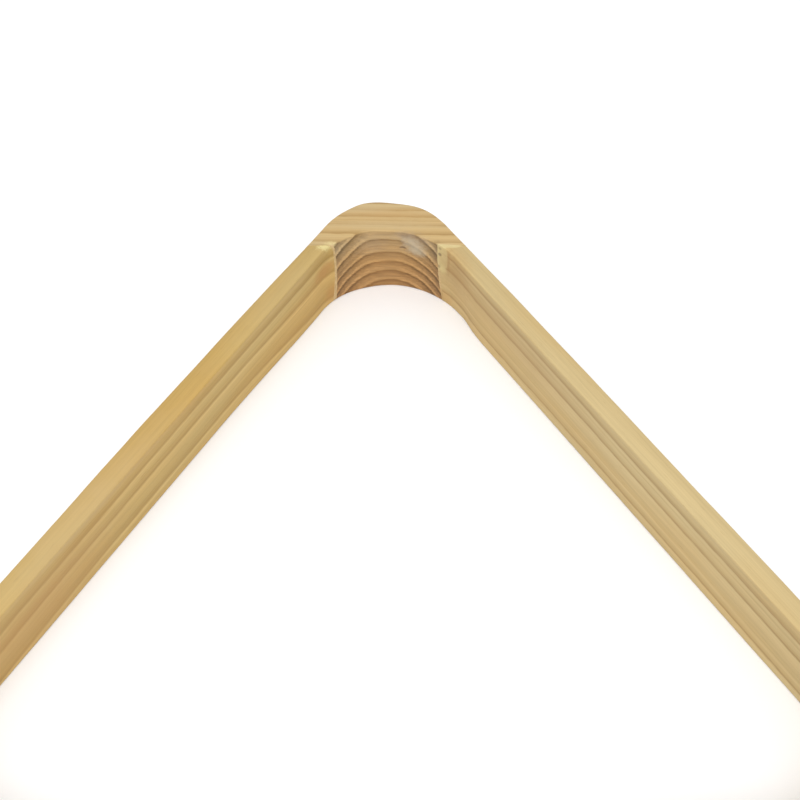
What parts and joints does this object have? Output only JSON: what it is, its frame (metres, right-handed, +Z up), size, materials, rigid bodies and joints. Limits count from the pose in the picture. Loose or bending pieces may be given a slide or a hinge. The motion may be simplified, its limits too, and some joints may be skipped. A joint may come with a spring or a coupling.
{
  "type": "triangle rack",
  "caption": "Wooden triangle rack that gathers fifteen pool balls: straight pine rails joined by rounded corner blocks with hidden dowels.",
  "frame": {"origin": "on the underside, at the centre of the rack's bounding box", "axes": "+X along the base rail, +Y towards the head corner where the front ball goes, +Z up from the table"},
  "size_m": [0.326, 0.2906, 0.031],
  "materials": {
    "pine_rail": "satin",
    "pine_block": "satin",
    "beech_dowel": "matte",
    "glue_line": "matte"
  },
  "bodies": {
    "root": {"left_rail": "pine_rail", "right_rail": "pine_rail", "base_rail": "pine_rail", "head_corner_block": "pine_block", "left_corner_block": "pine_block", "right_corner_block": "pine_block", "head_corner_left_rail_lower_dowel": "beech_dowel", "head_corner_left_rail_upper_dowel": "beech_dowel", "head_corner_right_rail_lower_dowel": "beech_dowel", "head_corner_right_rail_upper_dowel": "beech_dowel", "left_corner_base_rail_lower_dowel": "beech_dowel", "left_corner_base_rail_upper_dowel": "beech_dowel", "left_corner_left_rail_lower_dowel": "beech_dowel", "left_corner_left_rail_upper_dowel": "beech_dowel", "right_corner_base_rail_lower_dowel": "beech_dowel", "right_corner_base_rail_upper_dowel": "beech_dowel", "right_corner_right_rail_lower_dowel": "beech_dowel", "right_corner_right_rail_upper_dowel": "beech_dowel"}
  },
  "joints": []
}
